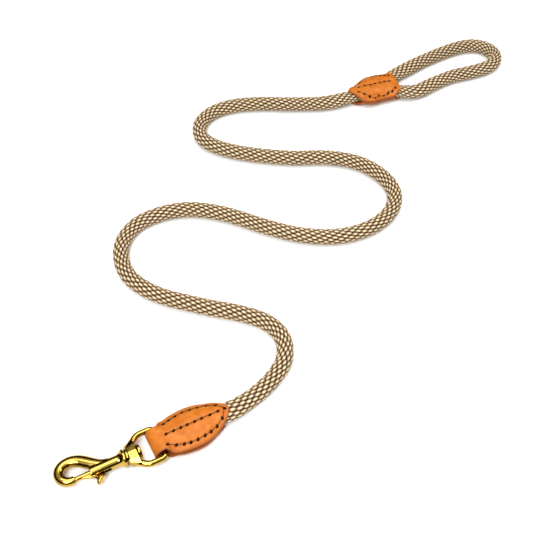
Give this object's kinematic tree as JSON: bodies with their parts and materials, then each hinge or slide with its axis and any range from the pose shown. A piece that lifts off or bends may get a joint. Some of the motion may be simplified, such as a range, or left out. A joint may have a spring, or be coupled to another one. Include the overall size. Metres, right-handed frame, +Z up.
{
  "type": "training leash",
  "caption": "Braided rope training leash with a brass swivel bolt snap, a stitched leather hook tab and a stitched leather wrap closing the hand loop.",
  "frame": {"origin": "centre of the ring seat, inside the round end of the snap hook's bow, on the plane through the middle of the hook", "axes": "+X from the bow along the hook towards the rope, +Y away from the hook's thumb knob, +Z up off the surface the leash lies on"},
  "size_m": [0.559, 0.3276, 0.0145],
  "materials": {
    "brass": "polished",
    "spring_steel": "satin",
    "leather": "satin",
    "thread": "matte",
    "rope": "matte"
  },
  "bodies": {
    "lead": {"hook_tab": "leather", "tab_edge_thread": "thread", "tab_centre_thread": "thread", "rope_lead": "rope", "rope_handle": "rope", "wrap_upper": "leather", "wrap_lower": "leather", "wrap_near_thread": "thread", "wrap_centre_thread": "thread", "wrap_far_thread": "thread"},
    "eye": {"swivel_eye": "brass"},
    "snap": {"hook_body": "brass", "swivel_rivet": "brass", "bolt_spring": "spring_steel"},
    "bolt": {"bolt": "brass"}
  },
  "joints": [
    {"name": "eye_tilt", "type": "hinge", "parent": "lead", "child": "eye", "pos_m": [0.064, -0.007, 0], "axis": [0, 1, 0], "range_deg": [-90, 90]},
    {"name": "swivel", "type": "hinge", "parent": "eye", "child": "snap", "pos_m": [0.0435, -0.007, 0], "axis": [1, 0, 0], "continuous": true},
    {"name": "bolt_slide", "type": "slide", "parent": "snap", "child": "bolt", "axis": [1, 0, 0], "range_m": [0, 0.009], "stiffness_N_per_m": 300, "springref_m": -0.003, "deforming": ["bolt_spring"]}
  ]
}
